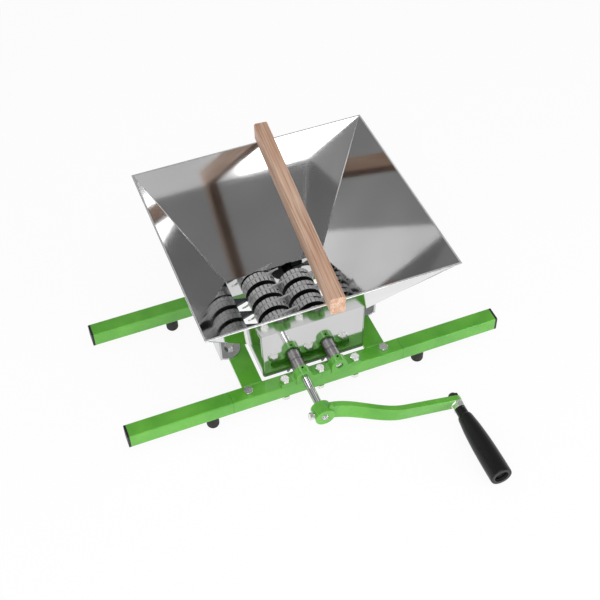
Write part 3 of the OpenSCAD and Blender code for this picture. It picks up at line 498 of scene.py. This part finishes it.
# turning marks 1.1 mm wide and 17 mm long, and casting pits of 2 mm
turning_marks = ((1.11, 16.7, 1.11), 3.0)
pits = (2.0, 4.0)
turned_drum = surface("turned_aluminium_drum",
                      tint=(turning_marks, "#cccdce", "#f0f0f0"),
                      gloss=(turning_marks, 0.36, 0.55), relief=(pits, 0.3, 0.25),
                      between=(0.25, 0.75), Metallic=0.4)
tree = turned_drum.node_tree
radius = distance(tree, (middle_x, 0, shaft_z), (shaft_reach, 0, 0), (1, 0, 1))
# painted shade: darker grey towards the bottoms of the flutes
flute_shade = add(tree, "ShaderNodeMapRange",
           {"Value": radius, "From Min": flute_top, "From Max": flute_bottom})
recolour(tree, flute_shade.outputs["Result"], "#4a4a4a")
# painted shade: faces that look along the shafts, the drums' flanks, are painted near black
normal = tree.nodes["position"].outputs["Normal"]
facing = add(tree, "ShaderNodeSeparateXYZ", {"Vector": normal}).outputs["Y"]
level = add(tree, "ShaderNodeMath", {0: facing}, operation="ABSOLUTE").outputs[0]
flank = add(tree, "ShaderNodeMath", {0: level, 1: flank_slope}, operation="GREATER_THAN")
recolour(tree, flank.outputs[0], "#1b1b1b")
cover(turned_drum, "drive_drums", "idler_drums")


# Cutters: S-shaped hooks of bright steel plate between the drum halves, cut and ground. The
# grinding leaves fine scratches up and down, 0.7 mm apart.
grinding = ((0.714, 0.714, 16.7), 2.0)
cutter_steel = surface("ground_cutter_steel", tint=(grinding, "#cfd0d1", "#f2f2f2"),
                       gloss=(grinding, 0.22, 0.42), Metallic=0.6)
cover(cutter_steel, "drive_cutters", "idler_cutters")


# Spacers and front sleeves: turned steel rings between the drums and before the box, with tool
# rings 0.7 mm apart. The sleeves are grey, and the spacers inside the box are painted near black
# as painted shade in the gaps between the drums.
box_middle_y = 0.1
box_half_depth = 0.08
tool_rings = ((33.3, 0.667, 33.3), 2.0)
turned_steel = surface("turned_steel", tint=(tool_rings, "#7c777a", "#a39fa1"),
                       gloss=(tool_rings, 0.3, 0.5), Metallic=0.7)
tree = turned_steel.node_tree
depth = distance(tree, (0, box_middle_y, 0), (0, 0, 0), (0, 1, 0))
# painted shade: the rings inside the box are painted near black
shaded_inside = add(tree, "ShaderNodeMath", {0: depth, 1: box_half_depth}, operation="LESS_THAN")
recolour(tree, shaded_inside.outputs[0], "#0d0d0d")
cover(turned_steel, "drive_spacers", "idler_spacers")


# Shafts: two 12 mm bars of bright drawn steel, run in the castings. The die leaves light and
# dark lines 2.4 mm apart along their whole length, and they are nearly mirror bright.
die_lines = ((2.38, 2000.0, 2.38), 2.0)
drawn_steel = surface("drawn_steel_bar", tint=(die_lines, "#5c5d5e", "#f2f2f2"),
                      gloss=(die_lines, 0.04, 0.1), between=(0.4, 0.58), Metallic=1.0)
cover(drawn_steel, "drive_shaft", "idler_shaft")


# Gears: two spur gears cut from steel, keyed on the shafts behind the box's front wall. They are
# dark and wet with oil, in runs 6 mm wide.
oil_film = (6.25, 3.0)
oiled_gear = surface("oiled_gear_steel", tint=(oil_film, "#4a4a4a", "#868788"),
                     gloss=(oil_film, 0.2, 0.4), Metallic=1.0)
cover(oiled_gear, "drive_gear", "idler_gear")


# Crank: a forged arm on a turned hub, powder coated as the frame, with a screw that clamps it on
# the shaft.
cover(green_coat, "crank_arm")


# Domed nut on the end of the grip's spindle: black oxide steel, a thin even skin with a low
# gloss, mottled over 3 mm. The spindle is painted the same near black, as painted shade in the
# grip's open end.
black_mottle = (3.33, 2.0)
black_nut_and_shaded_spindle = surface("black_steel_and_painted_shade", tint=(black_mottle, "#101010", "#1f1f1f"),
                      gloss=(black_mottle, 0.22, 0.38))
# the spindle's near black is painted shade inside the grip's hollow end
cover(black_nut_and_shaded_spindle, "dome_nut", "handle_spindle")


# Grip: a moulded black plastic handle that turns on its spindle, open at its outer end. It has a
# low sheen and a fine moulded grain of 0.9 mm.
moulded_grain = (0.909, 2.0)
grip_plastic = surface("moulded_grip_plastic", tint=(moulded_grain, "#0c0c0d", "#151516"),
                       gloss=(moulded_grain, 0.25, 0.38), relief=(moulded_grain, 0.2, 0.1),
                       Specular_IOR_Level=0.3)
cover(grip_plastic, "grip")


# Ring in the grip's open end: turned black plastic, polished, pressed in. It is glossier and a
# little greyer than the grip, with wear in spots of 2 mm.
worn_spots = (2.0, 3.0)
polished_plastic = surface("polished_black_plastic", tint=(worn_spots, "#202021", "#39393a"),
                           gloss=(worn_spots, 0.15, 0.28))
cover(polished_plastic, "grip_end_ring")


# Pusher: a planed bar of pale hardwood with eased edges, laid loose and askew across the rim.
# The wood is bare and matt, pinkish tan with darker growth lines along it.
askew = 4.65  # degrees
line_begins = 0.45  # value of the noise from which a growth line darkens, and where it is full
line_full = 0.75
# figure 8 mm wide and 139 mm long, growth lines 2 mm apart, and pores 0.6 mm wide
figure = ((8.33, 139.0, 8.33), 5.0, askew)
growth_lines = ((2.08, 111.0, 2.08), 3.0, askew)
pores = ((0.625, 20.0, 0.625), 2.0, askew)
hardwood = surface("planed_hardwood", tint=(figure, "#cda084", "#e8cbb4"),
                   gloss=(figure, 0.45, 0.62), relief=(pores, 0.4, 0.2))
tree = hardwood.node_tree
dark_line = add(tree, "ShaderNodeMapRange", {"Value": grain(tree, *growth_lines),
                                             "From Min": line_begins, "From Max": line_full})
recolour(tree, dark_line.outputs["Result"], "#a06c50")
cover(hardwood, "pusher_bar")
